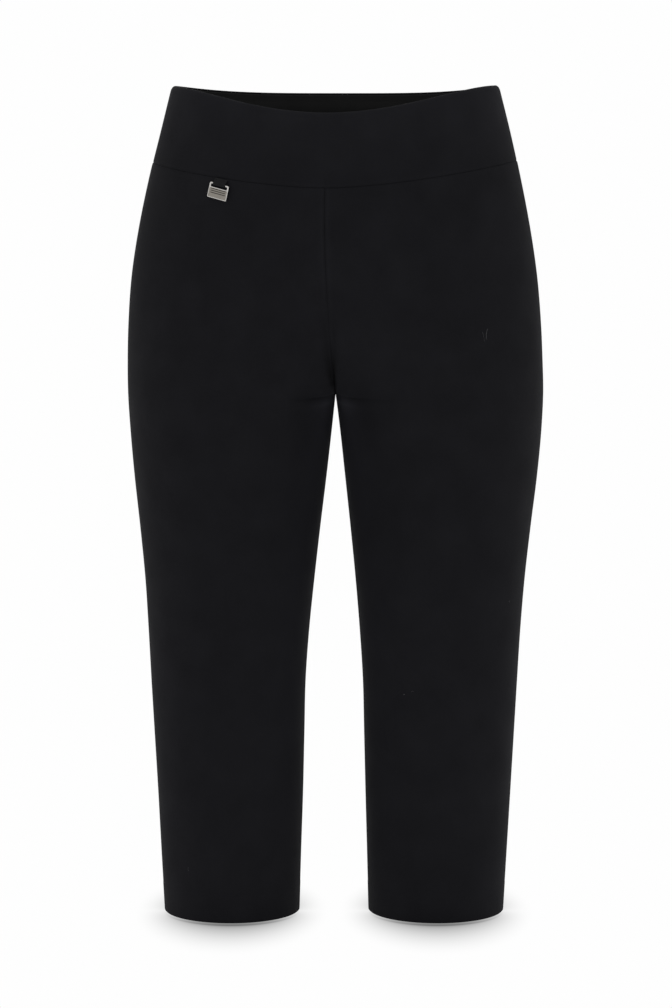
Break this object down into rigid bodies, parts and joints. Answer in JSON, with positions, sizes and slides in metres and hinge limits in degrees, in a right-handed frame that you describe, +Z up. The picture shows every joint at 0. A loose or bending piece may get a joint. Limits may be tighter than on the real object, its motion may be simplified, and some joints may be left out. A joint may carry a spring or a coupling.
{
  "type": "cropped pull-on leggings",
  "caption": "Women's cropped pull-on leggings in black stretch twill, filled out as worn, with a wide faced waistband and a small metal tag on a tape loop.",
  "frame": {"origin": "middle of the waist opening, level with the top edge at the sides", "axes": "+Z up, the front faces -Y, +X to the wearer's left"},
  "size_m": [0.398, 0.2585, 0.797],
  "materials": {
    "twill": "matt black stretch twill",
    "facing": "matt black, plain",
    "tape": "black woven tape",
    "nickel": "satin nickel plate"
  },
  "bodies": {
    "garment": {"leg_front_left": "twill", "leg_front_right": "twill", "leg_back_left": "twill", "leg_back_right": "twill", "waistband_front": "twill", "waistband_back": "twill", "facing_front": "facing", "facing_back": "facing", "tag_loop": "tape"},
    "tag": {"tag_plate": "nickel"}
  },
  "joints": [
    {"name": "tag_swing", "type": "hinge", "parent": "garment", "child": "tag", "pos_m": [-0.10698, -0.0904, -0.09082], "axis": [-0.8548, 0.4775, 0.2033], "range_deg": [0, 120]}
  ]
}
